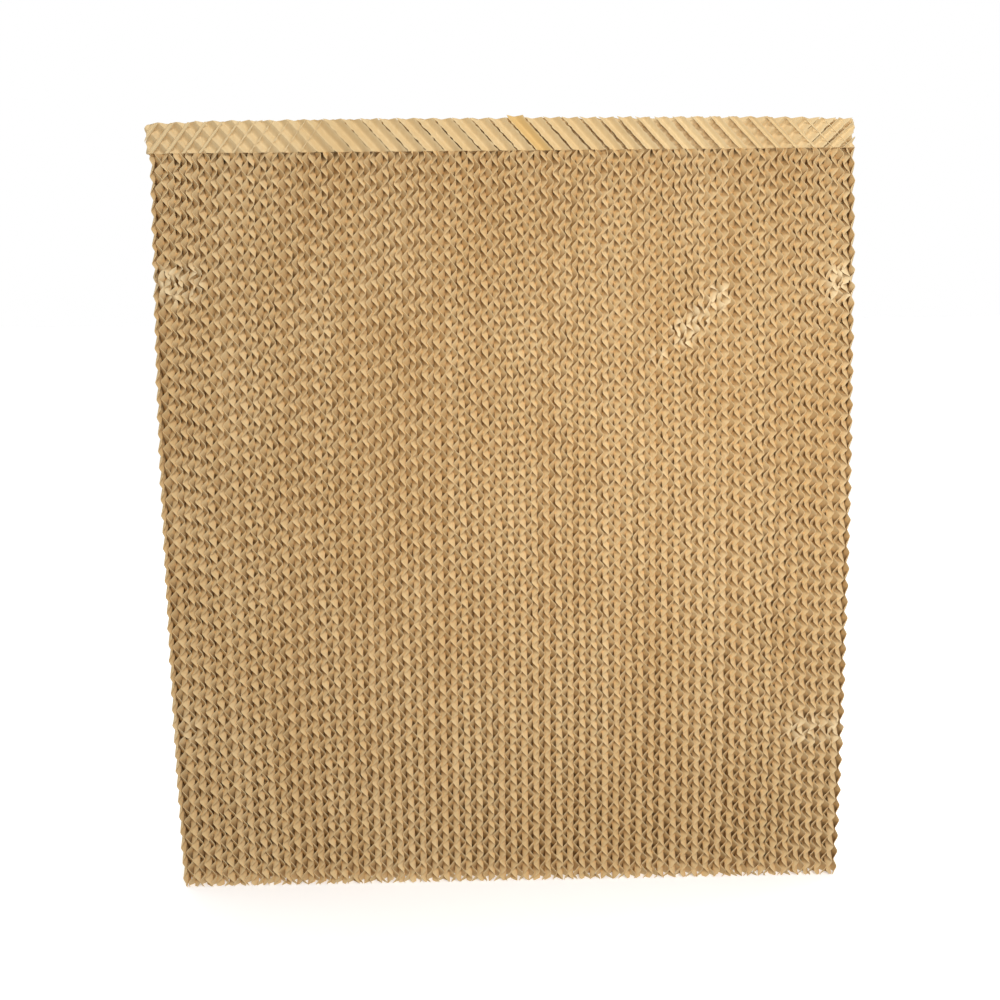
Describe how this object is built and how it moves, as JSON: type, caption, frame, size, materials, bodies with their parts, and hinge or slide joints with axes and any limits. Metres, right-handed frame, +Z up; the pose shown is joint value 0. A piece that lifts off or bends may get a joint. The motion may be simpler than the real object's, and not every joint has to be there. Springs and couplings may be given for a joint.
{
  "type": "evaporative cooling pad",
  "caption": "Block of cross-fluted corrugated kraft paper with a water spreading strip along its top, wetted from above to cool the air drawn through it",
  "frame": {"origin": "middle of the base on the floor", "axes": "+X across the sheets to the right as seen in the picture, +Y into the depth along the air flow, +Z up to the spreading strip"},
  "size_m": [0.6036, 0.1, 0.676],
  "materials": {
    "block_paper": "matt resin-treated kraft paper, tan, with paler scuffs",
    "strip_paper": "matt resin-treated kraft paper, pale tan, saw-cut on its front"
  },
  "bodies": {
    "root": {"block_sheets_1": "block_paper", "block_sheets_2": "block_paper", "block_sheets_3": "block_paper", "block_sheets_4": "block_paper", "block_sheets_5": "block_paper", "block_sheets_6": "block_paper", "strip_sheets": "strip_paper"}
  },
  "joints": []
}
